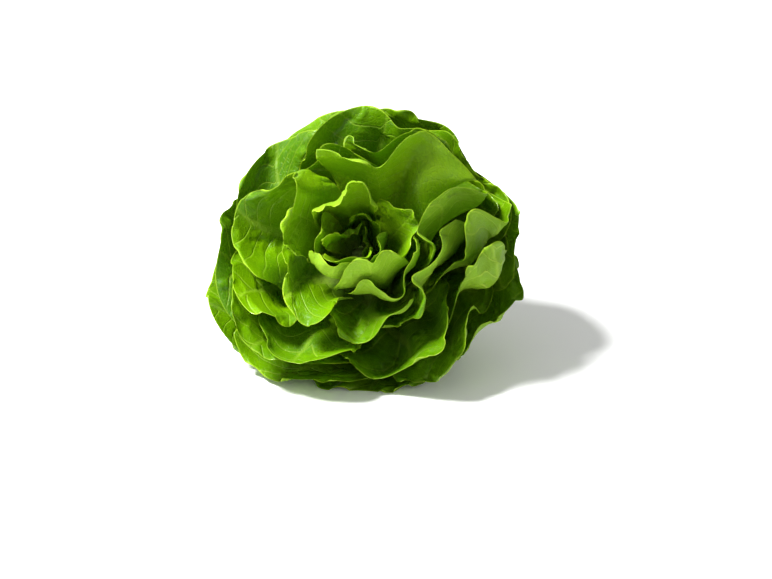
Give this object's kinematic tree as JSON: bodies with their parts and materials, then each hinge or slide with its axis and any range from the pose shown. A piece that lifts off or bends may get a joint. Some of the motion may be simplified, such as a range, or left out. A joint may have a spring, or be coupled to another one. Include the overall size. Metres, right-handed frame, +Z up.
{
  "type": "head of lettuce",
  "caption": "Whole head of butterhead lettuce lying on its side, its loose open heart facing forwards, with separate wavy leaves round a short cut stem.",
  "frame": {"origin": "on the surface it lies on, under the middle of the head's bounding box", "axes": "+Z up from the surface; the open heart faces -Y and upwards; +X to the right of someone who looks into the heart"},
  "size_m": [0.2136, 0.1534, 0.1705],
  "materials": {
    "heart_leaf": "soft leaf, yellow green",
    "middle_leaf": "leaf, glossy mid green",
    "outer_leaf": "leaf, glossy deep green",
    "stem": "moist cut stem, cream white"
  },
  "bodies": {
    "root": {"stem": "stem", "heart_leaf_01": "heart_leaf", "heart_leaf_02": "heart_leaf", "heart_leaf_03": "heart_leaf", "heart_leaf_04": "heart_leaf", "heart_leaf_05": "heart_leaf", "heart_leaf_06": "heart_leaf", "heart_leaf_07": "heart_leaf", "heart_leaf_08": "heart_leaf", "heart_leaf_09": "heart_leaf", "heart_leaf_10": "heart_leaf", "heart_leaf_11": "heart_leaf", "heart_leaf_12": "heart_leaf", "middle_leaf_01": "middle_leaf", "middle_leaf_02": "middle_leaf", "middle_leaf_03": "middle_leaf", "middle_leaf_04": "middle_leaf", "middle_leaf_05": "middle_leaf", "middle_leaf_06": "middle_leaf", "middle_leaf_07": "middle_leaf", "middle_leaf_08": "middle_leaf", "middle_leaf_09": "middle_leaf", "middle_leaf_10": "middle_leaf", "middle_leaf_11": "middle_leaf", "middle_leaf_12": "middle_leaf", "outer_leaf_01": "outer_leaf", "outer_leaf_02": "outer_leaf", "outer_leaf_03": "outer_leaf", "outer_leaf_04": "outer_leaf", "outer_leaf_05": "outer_leaf", "outer_leaf_06": "outer_leaf", "outer_leaf_07": "outer_leaf", "outer_leaf_08": "outer_leaf", "outer_leaf_09": "outer_leaf", "outer_leaf_10": "outer_leaf", "outer_leaf_11": "outer_leaf", "outer_leaf_12": "outer_leaf", "outer_leaf_13": "outer_leaf", "outer_leaf_14": "outer_leaf"}
  },
  "joints": []
}
